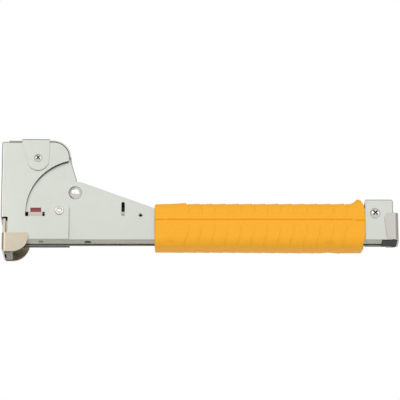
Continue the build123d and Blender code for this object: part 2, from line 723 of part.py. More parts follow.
with BuildPart() as staples:
    with BuildSketch(end.offset(staple_front)):
        with BuildLine():
            Polyline((-leg_out, leg_tip), (-leg_in, leg_tip), (-leg_in, crown_z[0]), (leg_in, crown_z[0]),
                     (leg_in, leg_tip), (leg_out, leg_tip), (leg_out, crown_z[1]), (-leg_out, crown_z[1]),
                     close=True)
        make_face()
    extrude(amount=staple_count * wire)
    with BuildSketch(side):
        with Locations(*[(staple_front + wire * n, crown_z[1]) for n in range(1, staple_count)]):
            Rectangle(0.24, 0.24, rotation=45)
    extrude(amount=magazine_half, both=True, mode=Mode.SUBTRACT)

staples.part.label = "staples"
export_step(staples.part, "parts/staples.step")

# ---- nose foot: front wall with a raised guide column, and two D-shaped ears ----
foot_front, foot_back_face = 1.4, 3.4
column_front, column_back, column_half, column_top = 1.95, 5.0, 12.0, 19.4
ear_top = 4.65
foot_bend = 3.4
foot_heel = 3.5             # rounding of the foot's lower front edge
ear_arc = (9.8, 2.7)
ear_r = ear_arc[1] + strike_depth

with BuildPart() as nose_foot:
    with BuildSketch(side):
        with BuildLine():
            Polyline((ear_arc[0], -strike_depth), (foot_front, -strike_depth), (foot_front, ear_top),
                     (ear_arc[0] + ear_r, ear_top), (ear_arc[0] + ear_r, ear_arc[1]))
            ThreePointArc((ear_arc[0] + ear_r, ear_arc[1]),
                          (ear_arc[0] + ear_r * diagonal, ear_arc[1] - ear_r * diagonal),
                          (ear_arc[0], -strike_depth))
        make_face()
    extrude(amount=ear_out, both=True)
    fillet(edges_at(nose_foot.part, Axis.Y, X=(20, 30), Z=(ear_top - 0.1, ear_top + 0.1)), 1.4)
    fillet(edges_at(nose_foot.part, Axis.Z, X=(foot_front - 0.1, foot_front + 0.1)), foot_bend)
    with BuildSketch(plan.offset(-strike_depth - 1)):
        with Locations((foot_back_face + 15, 0)):
            RectangleRounded(30, 2 * ear_in, foot_bend - 2.0)
    extrude(amount=30, mode=Mode.SUBTRACT)
    with BuildSketch(side):
        with BuildLine():
            Polyline((foot_front, -strike_depth + foot_heel), (foot_front - 1, -strike_depth + foot_heel),
                     (foot_front - 1, -strike_depth - 1), (foot_front + foot_heel, -strike_depth - 1),
                     (foot_front + foot_heel, -strike_depth))
            ThreePointArc((foot_front + foot_heel, -strike_depth),
                          (foot_front + foot_heel * (1 - diagonal), -strike_depth + foot_heel * (1 - diagonal)),
                          (foot_front, -strike_depth + foot_heel))
        make_face()
    extrude(amount=ear_out + 1, both=True, mode=Mode.SUBTRACT)
    with BuildSketch(side):
        with BuildLine():
            Polyline((column_front, -2), (column_back, -2), (column_back, column_top), (column_front, column_top),
                     close=True)
        make_face()
    extrude(amount=column_half, both=True)
    fillet(edges_at(nose_foot.part, Axis.Y, Z=(column_top - 0.1, column_top + 0.1)), 1.2)
    fillet(edges_at(nose_foot.part, Axis.Z, X=(column_front - 0.1, column_front + 0.1), Z=(5, 19)), 1.0)
    with BuildSketch(plan.offset(-2.5)):
        with Locations((foot_back_face + 5, 0)):
            Rectangle(10, 2 * (column_half - 1.6))
    extrude(amount=30, mode=Mode.SUBTRACT)

nose_foot.part.label = "nose_foot"
export_step(nose_foot.part, "parts/nose_foot.step")

# ---- nose guide: block under the magazine mouth, with the slot that the staple leaves by ----
guide_back, guide_half = 10.4, 11.0
guide_slot_half = 5.4
exit_front, exit_back = 3.55, 5.2      # the slot's narrow lower part, below the blade's stroke

with BuildPart() as nose_guide:
    with BuildSketch(plan.offset(-strike_depth)):
        with Locations(((foot_back_face + guide_back) / 2, 0)):
            Rectangle(guide_back - foot_back_face, 2 * guide_half)
        with Locations(((exit_front + exit_back) / 2, 0)):
            Rectangle(exit_back - exit_front, 2 * guide_slot_half, mode=Mode.SUBTRACT)
    extrude(amount=strike_depth - 2.5)
    # higher up the block is narrower, to stay inside the guide column, and the slot is wider
    with BuildSketch(plan.offset(-2.5)):
        with Locations(((foot_back_face + guide_back) / 2, 0)):
            Rectangle(guide_back - foot_back_face, 2 * (column_half - 1.6))
        with Locations(((foot_back_face + mouth_x) / 2, 0)):
            Rectangle(mouth_x - foot_back_face, 2 * guide_slot_half, mode=Mode.SUBTRACT)
    extrude(amount=2.5 + magazine_bottom)
    fillet(edges_at(nose_guide.part, Axis.Y, X=(guide_back - 0.1, guide_back + 0.1),
                    Z=(-strike_depth - 0.1, -strike_depth + 0.1)), 1.5)

nose_guide.part.label = "nose_guide"
export_step(nose_guide.part, "parts/nose_guide.step")

# ---- mouth plate: joins the front of the channel to the foot's column ----
mouth_half, mouth_plate_top = 10.35, 17.0

with BuildPart() as mouth_plate:
    with BuildSketch(plan.offset(magazine_bottom)):
        with Locations((mouth_x + sheet / 2, 0)):
            Rectangle(sheet, 2 * mouth_half)
        with Locations(((foot_back_face + mouth_x + sheet) / 2, mouth_half - sheet / 2),
                       ((foot_back_face + mouth_x + sheet) / 2, -mouth_half + sheet / 2)):
            Rectangle(mouth_x + sheet - foot_back_face, sheet)
    extrude(amount=mouth_plate_top - magazine_bottom)
    with BuildSketch(end.offset(mouth_x - 0.5)):
        with Locations((0, (magazine_bottom + magazine_top) / 2)):
            Rectangle(2 * magazine_half + 0.04, magazine_top - magazine_bottom + 0.04)
    extrude(amount=sheet + 1, mode=Mode.SUBTRACT)

mouth_plate.part.label = "mouth_plate"
export_step(mouth_plate.part, "parts/mouth_plate.step")

# ---- limit bracket and pin, which run in the shell's slots ----
bracket_front, bracket_back, bracket_top = 103.0, 112.0, 25.6
tab_front, tab_back = 104.4, 110.8      # near ear, close behind the shell plate
tab_out = shell_half - sheet - 0.3

with BuildPart() as limit_bracket:
    with BuildSketch(end.offset(bracket_front)):
        with Locations((0, magazine_top + sheet / 2)):
            Rectangle(2 * magazine_half, sheet)
        with Locations((magazine_half - 0.75, (magazine_top + bracket_top) / 2)):
            Rectangle(1.5, bracket_top - magazine_top)
    extrude(amount=bracket_back - bracket_front)
    with BuildSketch(end.offset(tab_front)):
        with Locations((-tab_out / 2, magazine_top + sheet / 2)):
            Rectangle(tab_out, sheet)
        with Locations((0.75 - tab_out, (magazine_top + bracket_top) / 2)):
            Rectangle(1.5, bracket_top - magazine_top)
    extrude(amount=tab_back - tab_front)
    fillet(edges_at(limit_bracket.part, Axis.Y, Z=(bracket_top - 0.1, bracket_top + 0.1)), 2.0)
    with BuildSketch(side):
        with Locations(limit):
            Circle(1.32)
    extrude(amount=tab_out + 1, both=True, mode=Mode.SUBTRACT)

limit_bracket.part.label = "limit_bracket"
export_step(limit_bracket.part, "parts/limit_bracket.step")

with BuildPart() as limit_pin:
    with BuildSketch(side):
        with Locations(limit):
            Circle(1.3)
    extrude(amount=shell_half - 0.2)
    extrude(limit_pin.part.faces().sort_by(Axis.Y)[-1], amount=magazine_half)
    chamfer(limit_pin.part.edges().filter_by(GeomType.CIRCLE), 0.3)

limit_pin.part.label = "limit_pin"
export_step(limit_pin.part, "parts/limit_pin.step")

# ---- pivot bracket: a saddle on the channel with the two pivot lugs ----
lug = 1.2
lug_r = 5.2
lug_out = magazine_half + 0.03 + lug

with BuildPart() as pivot_bracket:
    with BuildSketch(side):
        with BuildLine():
            Polyline((pivot[0] + lug_r, pivot[1]), (336.0, 15.0), (336.0, 4.0), (318.5, 4.0), (318.5, 15.0),
                     (pivot[0] - lug_r, pivot[1]))
            ThreePointArc((pivot[0] - lug_r, pivot[1]), (pivot[0], pivot[1] + lug_r),
                          (pivot[0] + lug_r, pivot[1]))
        make_face()
    extrude(amount=lug_out, both=True)
    with BuildSketch(end.offset(310)):
        with Locations((0, (magazine_top + 0.02) / 2)):
            Rectangle(2 * (lug_out - lug), magazine_top + 0.02)
        with Locations((0, 30 + magazine_top + sheet)):
            Rectangle(2 * (lug_out - lug), 60)
    extrude(amount=40, mode=Mode.SUBTRACT)
    with BuildSketch(side):
        with Locations(pivot):
            Circle(3.05)
    extrude(amount=lug_out + 1, both=True, mode=Mode.SUBTRACT)

pivot_bracket.part.label = "pivot_bracket"
export_step(pivot_bracket.part, "parts/pivot_bracket.step")

# ---- spring seat on the magazine ----
with BuildPart() as spring_seat:
    with BuildSketch(plan.offset(magazine_top)):
        with Locations((seat_x, 0)):
            Circle(6.1)
    extrude(amount=spring_low - magazine_top)
    with BuildSketch(plan.offset(spring_low)):
        with Locations((seat_x, 0)):
            Circle(3.9)
    extrude(amount=3.0)
    chamfer(spring_seat.part.faces().sort_by(Axis.Z)[-1].edges(), 0.6)

spring_seat.part.label = "spring_seat"
export_step(spring_seat.part, "parts/spring_seat.step")

# ---- follower that pushes the staples, with a ring around the pusher rod ----
follower_front, follower_back = stick_back + 0.2, stick_back + 16
ring_front, ring_back = stick_back + 6, stick_back + 10

with BuildPart() as follower:
    with BuildSketch(end.offset(follower_front)):
        with BuildLine():
            Polyline((-leg_out, leg_tip), (-leg_in, leg_tip), (-leg_in, crown_z[0]), (leg_in, crown_z[0]),
                     (leg_in, leg_tip), (leg_out, leg_tip), (leg_out, crown_z[1]), (-leg_out, crown_z[1]),
                     close=True)
        make_face()
    extrude(amount=follower_back - follower_front)
    with BuildSketch(end.offset(ring_front)):
        with Locations((0, rod_height)):
            Circle(2.6)
        with Locations((0, (rod_height + crown_z[1]) / 2)):
            Rectangle(2.4, crown_z[1] - rod_height)
        with Locations((0, rod_height)):
            Circle(1.28, mode=Mode.SUBTRACT)
    extrude(amount=ring_back - ring_front)

follower.part.label = "follower"
export_step(follower.part, "parts/follower.step")

# ---- pusher: rod with a stop head, spring, black end block, folded cap and its rivets ----
block_front, block_face = 341.2, length - 1.6
block_half, block_top = 9.8, 22.5
cap_half, cap_sheet, cap_top = 13.1, 1.2, 23.7
rod_r = 1.2
spigot_front = 337.8

with BuildPart() as pusher_rod:
    with BuildSketch(end.offset(ring_front)):
        with Locations((0, rod_height)):
            Circle(rod_r)
    extrude(amount=block_front + 4 - ring_front)
    with BuildSketch(end.offset(ring_front - 1.8)):
        with Locations((0, rod_height)):
            Circle(2.2)
    extrude(amount=1.7)
    with BuildSketch(end.offset(ring_front - 0.5)):
        with Locations((0, rod_height)):
            Circle(rod_r)
    extrude(amount=1.0)

pusher_rod.part.label = "pusher_rod"
export_step(pusher_rod.part, "parts/pusher_rod.step")

coil_front, coil_back = ring_back + 0.3, spigot_front - 0.3
coil_wire, coil_r, coil_turns = 0.35, 1.95, 30

with BuildPart() as pusher_spring:
    with BuildLine() as coil:
        Helix(pitch=(coil_back - coil_front - 2 * coil_wire) / coil_turns,
              height=coil_back - coil_front - 2 * coil_wire, radius=coil_r,
              center=datum + Vector(coil_front + coil_wire, 0, rod_height), direction=(1, 0, 0))
    path = coil.wires()[0]
    with BuildSketch(Plane(origin=path @ 0, z_dir=path % 0)):
        Circle(coil_wire)
    sweep(is_frenet=True)

pusher_spring.part.label = "pusher_spring"
export_step(pusher_spring.part, "parts/pusher_spring.step")

corner_r = 4.0

with BuildPart() as pusher_block:
    with BuildSketch(plan.offset(-0.6)):
        with Locations(((block_front + block_face) / 2, 0)):
            Rectangle(block_face - block_front, 2 * block_half)
    extrude(amount=block_top + 0.6)
    fillet(edges_at(pusher_block.part, Axis.Z, X=(block_face - 0.1, block_face + 0.1)), corner_r)
    # thin tongue under the magazine, and the spigot inside the channel
    with BuildSketch(plan.offset(-0.6)):
        with Locations(((335.5 + block_front) / 2, 0)):
            Rectangle(block_front - 335.5, 2 * (shell_half - sheet - 0.3))
    extrude(amount=1.0)
    with BuildSketch(end.offset(spigot_front)):
        with Locations((0, (floor + 0.15 + 11.5) / 2)):
            Rectangle(2 * (magazine_half - wall - 0.15), 11.5 - floor - 0.15)
    extrude(amount=block_front - spigot_front)
    with BuildSketch(end.offset(spigot_front)):
        with Locations((0, rod_height)):
            Circle(rod_r + 0.02)
    extrude(amount=block_front + 4 - spigot_front, mode=Mode.SUBTRACT)

pusher_block.part.label = "pusher_block"
export_step(pusher_block.part, "parts/pusher_block.step")

cap_front_low, cap_front_high = 339.7, 336.9
cap_rivet_z = (6.0, 17.5)

with BuildPart() as pusher_cap:
    with BuildSketch(side):
        with BuildLine():
            Polyline((cap_front_low, band_bottom), (length, band_bottom), (length, cap_top),
                     (cap_front_high, cap_top), close=True)
        make_face()
    extrude(amount=cap_half, both=True)
    fillet(edges_at(pusher_cap.part, Axis.Y, X=(cap_front_high - 0.1, cap_front_high + 0.1)), 4.6)
    fillet(edges_at(pusher_cap.part, Axis.Z, X=(length - 0.1, length + 0.1)), corner_r + 1.0)
    with BuildSketch(plan.offset(-5)):
        with Locations((block_face + 0.2 - 30, 0)):
            RectangleRounded(60, 2 * (cap_half - cap_sheet), corner_r)
    extrude(amount=40, mode=Mode.SUBTRACT)
    with BuildSketch(end.offset(block_face)):
        with Locations(*[(0, z) for z in cap_rivet_z]):
            Circle(2.22)
    extrude(amount=3, mode=Mode.SUBTRACT)

pusher_cap.part.label = "pusher_cap"
export_step(pusher_cap.part, "parts/pusher_cap.step")

with BuildPart() as cap_rivets:
    with BuildSketch(end.offset(block_face + 0.05)):
        with Locations(*[(0, z) for z in cap_rivet_z]):
            Circle(2.2)
    extrude(amount=length - block_face - 0.15)
    chamfer(cap_rivets.part.faces().sort_by(Axis.X)[-2:].edges(), 0.3)

cap_rivets.part.label = "cap_rivets"
export_step(cap_rivets.part, "parts/cap_rivets.step")
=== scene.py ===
"""Looks of the hammer tacker: materials, a moulded rubber grip, springs, camera, floor and soft light."""
import math

import bmesh
import bpy
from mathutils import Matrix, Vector


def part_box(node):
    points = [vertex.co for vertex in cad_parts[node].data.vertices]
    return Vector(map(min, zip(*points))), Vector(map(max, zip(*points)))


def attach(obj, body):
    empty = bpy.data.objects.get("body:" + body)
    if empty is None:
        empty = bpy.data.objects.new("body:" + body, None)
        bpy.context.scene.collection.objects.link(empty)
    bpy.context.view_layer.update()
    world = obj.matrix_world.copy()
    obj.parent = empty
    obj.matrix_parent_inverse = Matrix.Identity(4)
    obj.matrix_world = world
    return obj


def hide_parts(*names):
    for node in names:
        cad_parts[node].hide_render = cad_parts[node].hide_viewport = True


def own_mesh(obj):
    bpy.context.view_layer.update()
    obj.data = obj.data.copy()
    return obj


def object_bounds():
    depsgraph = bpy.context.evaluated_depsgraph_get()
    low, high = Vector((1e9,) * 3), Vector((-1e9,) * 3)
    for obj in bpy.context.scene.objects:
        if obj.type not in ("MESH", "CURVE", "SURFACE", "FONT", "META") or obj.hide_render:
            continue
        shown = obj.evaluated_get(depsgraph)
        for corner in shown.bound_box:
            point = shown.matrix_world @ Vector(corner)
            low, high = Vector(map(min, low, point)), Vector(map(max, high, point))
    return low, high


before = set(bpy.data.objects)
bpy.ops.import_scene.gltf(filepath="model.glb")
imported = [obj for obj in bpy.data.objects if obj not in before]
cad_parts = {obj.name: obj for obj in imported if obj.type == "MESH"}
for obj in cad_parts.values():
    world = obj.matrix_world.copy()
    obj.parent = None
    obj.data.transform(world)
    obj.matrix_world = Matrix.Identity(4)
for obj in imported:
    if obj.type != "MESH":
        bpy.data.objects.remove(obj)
cad_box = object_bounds()

MM = 0.001


# ---- material helpers ----
class Graph:
    """A material with a Principled shader, and short calls for the nodes around it."""

    def __init__(self, name, color, metallic=0.0, roughness=0.5):
        self.material = bpy.data.materials.new(name)
        self.material.use_nodes = True
        self.nodes = self.material.node_tree.nodes
        self.links = self.material.node_tree.links
        self.shader = self.nodes["Principled BSDF"]
        self.shader.inputs["Base Color"].default_value = (*color, 1)
        self.shader.inputs["Metallic"].default_value = metallic
        self.shader.inputs["Roughness"].default_value = roughness
        self.coords = self.nodes.new("ShaderNodeTexCoord").outputs["Object"]

    def mapped(self, scale):
        mapping = self.nodes.new("ShaderNodeMapping")
        mapping.inputs["Scale"].default_value = scale
        self.links.new(self.coords, mapping.inputs["Vector"])
        return mapping.outputs["Vector"]

    def noise(self, scale, detail=4.0, stretch=(1, 1, 1), roughness=0.5, distortion=0.0):
        node = self.nodes.new("ShaderNodeTexNoise")
        node.inputs["Scale"].default_value = scale
        node.inputs["Detail"].default_value = detail
        node.inputs["Roughness"].default_value = roughness
        node.inputs["Distortion"].default_value = distortion
        self.links.new(self.mapped(stretch), node.inputs["Vector"])
        return node.outputs["Fac"]

    def ramp(self, fac, stops):
        node = self.nodes.new("ShaderNodeValToRGB")
        elements = node.color_ramp.elements
        while len(elements) < len(stops):
            elements.new(0.5)
        for element, (position, value) in zip(elements, stops):
            element.position = position
            element.color = (*value, 1) if isinstance(value, tuple) else (value, value, value, 1)
        self.links.new(fac, node.inputs["Fac"])
        return node.outputs["Color"]

    def mix(self, fac, a, b, kind="MIX"):
        node = self.nodes.new("ShaderNodeMix")
        node.data_type = "RGBA"
        node.blend_type = kind
        for socket, value in ((node.inputs[0], fac), (node.inputs[6], a), (node.inputs[7], b)):
            if isinstance(value, (int, float)):
                socket.default_value = value
            elif isinstance(value, tuple):
                socket.default_value = (*value, 1)
            else:
                self.links.new(value, socket)
        return node.outputs[2]

    def math(self, kind, a, b=0.0, clamp=False):
        node = self.nodes.new("ShaderNodeMath")
        node.operation = kind
        node.use_clamp = clamp
        for socket, value in ((node.inputs[0], a), (node.inputs[1], b)):
            if isinstance(value, (int, float)):
                socket.default_value = value
            else:
                self.links.new(value, socket)
        return node.outputs[0]

    def bump(self, height, strength, distance, normal=None):
        node = self.nodes.new("ShaderNodeBump")
        node.inputs["Strength"].default_value = strength
        node.inputs["Distance"].default_value = distance
        self.links.new(height, node.inputs["Height"])
        if normal is not None:
            self.links.new(normal, node.inputs["Normal"])
        return node.outputs["Normal"]

    def set(self, **sockets):
        for name, value in sockets.items():
            socket = self.shader.inputs[name.replace("_", " ")]
            if isinstance(value, (int, float)):
                socket.default_value = value
            elif isinstance(value, tuple):
                socket.default_value = (*value, 1)
            else:
                self.links.new(value, socket)


def recess_shade(g, name, crown_drop):
    """Mask for painted shade: 0 on the domed crown of a screw head and 1 in its recess, by the depth below the
    crown.
    """
    start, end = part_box(name)
    centre, radius = (start + end) / 2, (end.x - start.x) / 2
    split = g.nodes.new("ShaderNodeSeparateXYZ")
    g.links.new(g.coords, split.inputs[0])
    across = g.math("SUBTRACT", split.outputs["X"], centre.x)
    upward = g.math("SUBTRACT", split.outputs["Z"], centre.z)
    reach = g.math("ADD", g.math("MULTIPLY", across, across), g.math("MULTIPLY", upward, upward))
    dome = g.math("SUBTRACT", abs(start.y), g.math("MULTIPLY", reach, crown_drop / radius ** 2))
    depth = g.math("SUBTRACT", dome, g.math("ABSOLUTE", split.outputs["Y"]))
    shade = g.nodes.new("ShaderNodeMapRange")
    shade.inputs["From Min"].default_value = 0.12 * MM
    shade.inputs["From Max"].default_value = 0.6 * MM
    g.links.new(depth, shade.inputs["Value"])
    return shade.outputs[0]


def plated(name, color, tint, roughness, grain, spangle=0.35, dirt=0.25, scratch=0.5, recess=None):
    """Plated sheet steel: a fine rolled grain, cloudy plating, a few scratches and stains, and painted shade in
    screw recesses.
    """
    g = Graph(name, color, metallic=1.0, roughness=roughness)
    rolled = g.noise(900, 3, stretch=(0.05, 1, 1), roughness=0.6)
    cloud = g.noise(28, 5, roughness=0.62, distortion=0.4)
    stain = g.noise(75, 6, roughness=0.7, distortion=1.2)
    fine = g.noise(1500, 2)
    tone = g.mix(g.ramp(cloud, [(0.35, 0.0), (0.68, 1.0)]), color, tint)
    tone = g.mix(g.ramp(stain, [(0.60, 0.0), (0.78, dirt)]), tone, tuple(0.62 * c for c in color))
    tone = g.mix(g.ramp(rolled, [(0.30, 0.18), (0.70, 0.0)]), tone, tuple(0.86 * c for c in color))
    marks = g.noise(60, 2, stretch=(0.04, 1, 3.0), roughness=0.9, distortion=0.2)
    marks = g.ramp(marks, [(0.70, 0.0), (0.74, 1.0), (0.76, 0.0)])
    rough = g.math("MULTIPLY_ADD", rolled, grain)
    rough.node.inputs[2].default_value = roughness - grain * 0.5
    rough = g.math("ADD", rough, g.math("MULTIPLY", cloud, spangle * 0.12))
    rough = g.math("ADD", rough, g.math("MULTIPLY", marks, 0.10 * scratch), clamp=True)
    normal = g.bump(rolled, 0.05, 0.0002)
    normal = g.bump(fine, 0.03, 0.0002, normal)
    normal = g.bump(marks, 0.04 * scratch, 0.0002, normal)
    # painted shade: a screw head's recess is darkened towards near black by its depth below the crown
    if recess:
        tone = g.mix(recess_shade(g, *recess), tone, (0.03, 0.028, 0.025))
    g.set(Base_Color=tone, Roughness=rough, Normal=normal)
    return g.material


def rubber(name, color, deep, light, roughness, pitch=1400, gloss=0.42):
    """Moulded rubber: a fine texture from the mould, with uneven colour and a few scuffs."""
    g = Graph(name, color, roughness=roughness)
    grain = g.noise(pitch, 3, roughness=0.6)
    blotch = g.noise(35, 4, roughness=0.6)
    scuff = g.noise(140, 6, stretch=(0.5, 1, 1), roughness=0.75, distortion=0.8)
    tone = g.mix(g.ramp(blotch, [(0.35, 0.0), (0.7, 0.35)]), color, light)
    tone = g.mix(g.ramp(grain, [(0.30, 0.35), (0.55, 0.0)]), tone, deep)
    tone = g.mix(g.ramp(scuff, [(0.66, 0.0), (0.80, 0.25)]), tone, deep)
    rough = g.math("ADD", roughness - 0.08, g.math("MULTIPLY", scuff, 0.22), clamp=True)
    normal = g.bump(grain, 0.16, 0.0002)
    normal = g.bump(scuff, 0.04, 0.0004, normal)
    g.set(Base_Color=tone, Roughness=rough, Normal=normal)
    g.shader.inputs["Specular IOR Level"].default_value = gloss
    return g.material


zinc = plated("zinc_plate", (0.565, 0.58, 0.53), (0.53, 0.55, 0.50), 0.30, 0.12)
nickel = plated("nickel_plate", (0.55, 0.485, 0.38), (0.50, 0.44, 0.35), 0.26, 0.08, dirt=0.35)
satin = plated("nickel_satin", (0.49, 0.475, 0.435), (0.45, 0.435, 0.40), 0.22, 0.08, dirt=0.2)
shine, shine_tint = (0.84, 0.82, 0.77), (0.76, 0.74, 0.69)
bright = plated("nickel_bright", shine, shine_tint, 0.10, 0.05, dirt=0.3)
channel = plated("olive_zinc", (0.50, 0.50, 0.41), (0.44, 0.44, 0.36), 0.34, 0.12, dirt=0.4)
steel = plated("oiled_steel", (0.40, 0.38, 0.32), (0.30, 0.285, 0.24), 0.42, 0.16, dirt=0.6)
hard = plated("tool_steel", (0.33, 0.31, 0.27), (0.24, 0.225, 0.20), 0.40, 0.14, dirt=0.5)
spring_wire = plated("spring_wire", (0.36, 0.35, 0.33), (0.28, 0.27, 0.25), 0.35, 0.10)
staple_wire = plated("staple_wire", (0.66, 0.66, 0.65), (0.56, 0.56, 0.55), 0.34, 0.12)
urethane = rubber("red_urethane", (0.34, 0.045, 0.06), (0.22, 0.02, 0.03), (0.44, 0.09, 0.10), 0.42)
black = rubber("black_plastic", (0.010, 0.010, 0.010), (0.005, 0.005, 0.005), (0.018, 0.018, 0.018), 0.5,
               gloss=0.25)
yellow = rubber("yellow_rubber", (1.0, 0.455, 0.016), (0.84, 0.32, 0.008), (1.0, 0.50, 0.022), 0.52,
                gloss=0.3)
# copies of the bright nickel with painted shade in the screw heads' recesses
saddle_bright_recess_shaded = plated("nickel_saddle_screws_recess_shaded", shine, shine_tint, 0.10, 0.05, dirt=0.3,
                       recess=("saddle_screws", 1.4 * MM))
pivot_bright_recess_shaded = plated("nickel_pivot_screw_recess_shaded", shine, shine_tint, 0.10, 0.05, dirt=0.3,
                      recess=("pivot_screw", 1.8 * MM))

finish = {
    zinc: ("head_cover", "body_shell", "back_band", "saddle_strap", "rear_housing"),
    nickel: ("nose_foot",),
    satin: ("pusher_cap", "bumper_bars"),
    saddle_bright_recess_shaded: ("saddle_screws",),
    pivot_bright_recess_shaded: ("pivot_screw",),
    bright: ("head_rivet", "cover_rivets", "cap_rivets"),
    channel: ("magazine_channel", "magazine_lid", "mouth_plate", "limit_bracket", "pivot_bracket"),
    steel: ("head_spacer", "driver_holder", "blade_rivets", "rivet_spacer", "cover_nuts", "cover_spacers",
            "spring_bracket", "spring_seat", "pivot_nut", "pivot_bushing", "core_rail", "rail_rivets",
            "limit_pin", "roll_pins", "pusher_rod", "follower"),
    hard: ("driver_blade", "nose_guide"),
    spring_wire: ("return_spring", "pusher_spring"),
    staple_wire: ("staples",),
    urethane: ("bumper",),
    black: ("pusher_block",),
    yellow: ("grip",),
}
for material, names in finish.items():
    for name in names:
        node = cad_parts[name]
        if not node.material_slots:
            node.data.materials.append(None)
        node.material_slots[0].material = material

for name in ("head_cover", "body_shell", "back_band", "saddle_strap", "rear_housing", "nose_foot", "pusher_cap",
             "magazine_channel", "pusher_block"):
    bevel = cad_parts[name].modifiers.new("edge", "BEVEL")
    bevel.width = 0.18 * MM
    bevel.segments = 2
    bevel.limit_method = "ANGLE"
    bevel.angle_limit = math.radians(50)


# ---- grip: a moulded sleeve with overlapping scales, a parting line and a flared heel ----
def smooth(value, start, stop):
    t = min(1.0, max(0.0, (value - start) / (stop - start)))
    return t * t * (3 - 2 * t)


def rounded_section(half, bottom, top, radius):
    """Points and outward normals round a rounded rectangle, closest together at the parting line."""
    heights = [bottom + radius]
    for stop, count in ((seam_z - 1.2 * MM, 8), (seam_z + 1.2 * MM, 12), (top - radius, 10)):
        start = heights[-1]
        heights += [start + (stop - start) * (n + 1) / count for n in range(count)]
    reach = half - radius
    widths = [reach * (2 * n / flat_steps - 1) for n in range(flat_steps)]
    runs = (
        ([(y, bottom) for y in widths], (0, -1), (reach, bottom + radius)),
        ([(half, z) for z in heights[:-1]], (1, 0), (reach, top - radius)),
        ([(-y, top) for y in widths], (0, 1), (-reach, top - radius)),
        ([(-half, z) for z in heights[:0:-1]], (-1, 0), (-reach, bottom + radius)),
    )
    found = []
    for turn, (points, normal, (cy, cz)) in enumerate(runs):
        found += [(point, normal) for point in points]
        for n in range(corner_steps):
            angle = math.pi / 2 * (turn - 1 + n / corner_steps)
            ny, nz = math.cos(angle), math.sin(angle)
            found.append(((cy + radius * ny, cz + radius * nz), (ny, nz)))
    return found


def scale_relief(x, z, top_share):
    """Height of the overlapping scales: each rises towards the heel, then drops into a groove."""
    level = (z - seam_z) / half_height
    bow = -3.9 * MM * abs(level) ** 2.2
    phase = (x - first_scale - bow) / scale_pitch
    count = math.floor(phase)
    share = phase - count
    drop = smooth(share, 0.93, 1.0)
    body = share * (1 - drop) - 1.5 * smooth(share, 0.84, 0.92) * (1 - smooth(share, 0.94, 1.0))
    zone = smooth(abs(z - seam_z), 3.4 * MM, 6.0 * MM)
    if not -1 <= count < scale_count:
        body = 0.0
    return body * zone * (0.58 + 0.25 * top_share) * MM


def end_round(distance, radius):
    """How far the surface is drawn in at a distance from the sleeve's rounded end."""
    share = min(1.0, distance / radius)
    return radius * (1 - math.sqrt(1 - (1 - share) ** 2))


def bump_at(x, z, centre, size):
    reach = ((x - centre[0]) / size[0]) ** 2 + ((z - centre[1]) / size[1]) ** 2
    return math.exp(-2.2 * reach)


low_grip, high_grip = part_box("grip")
shell_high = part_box("body_shell")[1]
grip_x0, grip_x1 = low_grip.x, high_grip.x
grip_bottom, grip_half = low_grip.z, high_grip.y
grip_top = grip_bottom + 40.6 * MM
half_height = 20.3 * MM
seam_z = grip_bottom + 23.4 * MM
scale_pitch, scale_count = 11.56 * MM, 12
first_scale = grip_x0 + 31.6 * MM
tunnel_half = shell_high.y + 0.1 * MM
tunnel_low = grip_bottom + 6.6 * MM
tunnel_high = tunnel_low + 29.6 * MM
corner_r = 9 * MM
front_round, heel_round = 1.3 * MM, 1.5 * MM
seam_gaps = (grip_x0 + 9.3 * MM, grip_x1 - 10.4 * MM)
dents = (
    (1.1 * MM, (grip_x0 + 14.5 * MM, grip_bottom + 2.6 * MM), (5.5 * MM, 1.3 * MM)),
    (1.5 * MM, (grip_x0 + 152.5 * MM, grip_bottom + 1.4 * MM), (6.0 * MM, 2.4 * MM)),
)
flat_steps, corner_steps = 14, 10
rings = []

steps = 400
for step in range(steps + 1):
    x = grip_x0 + (grip_x1 - grip_x0) * step / steps
    flare = smooth(x, grip_x1 - 17 * MM, grip_x1 - 1 * MM) ** 1.35
    collar_end = 1 - smooth(x, grip_x0 + 27.2 * MM, grip_x0 + 28.4 * MM)
    collar = 0.7 * MM * smooth(x, grip_x0, grip_x0 + 27 * MM) * collar_end
    top = grip_top - 0.7 * MM + collar + 4.4 * MM * flare
    inset = end_round(x - grip_x0, front_round) + end_round(grip_x1 - x, heel_round)
    ring = []
    bottom = grip_bottom - 0.6 * MM * smooth(x, grip_x0 + 40 * MM, grip_x1 - 20 * MM)
    for (y, z), (ny, nz) in rounded_section(grip_half, bottom, top, corner_r):
        top_share = max(0.0, nz)
        out = scale_relief(x, z, top_share) * (1 - smooth(abs(nz), 0.86, 0.99) * 0.8)
        jog = 0.6 * MM * smooth(x, grip_x1 - 10.4 * MM, grip_x1 - 10 * MM)
        seam = math.exp(-(((z - seam_z + jog) / (0.44 * MM)) ** 2)) if abs(ny) > 0.9 else 0.0
        for gap in seam_gaps:
            seam *= 1 - math.exp(-(((x - gap) / (0.9 * MM)) ** 2))
        out -= 1.1 * MM * seam
        for depth, centre, size in dents:
            out -= depth * bump_at(x, z, centre, size)
        out -= inset
        level = (z - (grip_bottom + grip_top) / 2) / half_height
        bulge = 2.5 * MM * level ** 4 * smooth(x, grip_x1 - 14 * MM, grip_x1)
        ring.append((x - bulge, y + ny * out, z + nz * out))
    rings.append(ring)
inner = [point for point, normal in rounded_section(tunnel_half, tunnel_low, tunnel_high, 1.2 * MM)]
for x in (grip_x1 - 2.9 * MM, grip_x1 - 12 * MM, grip_x0 + 12 * MM, grip_x0 + 0.2 * MM):
    rings.append([(x, y, z) for y, z in inner])

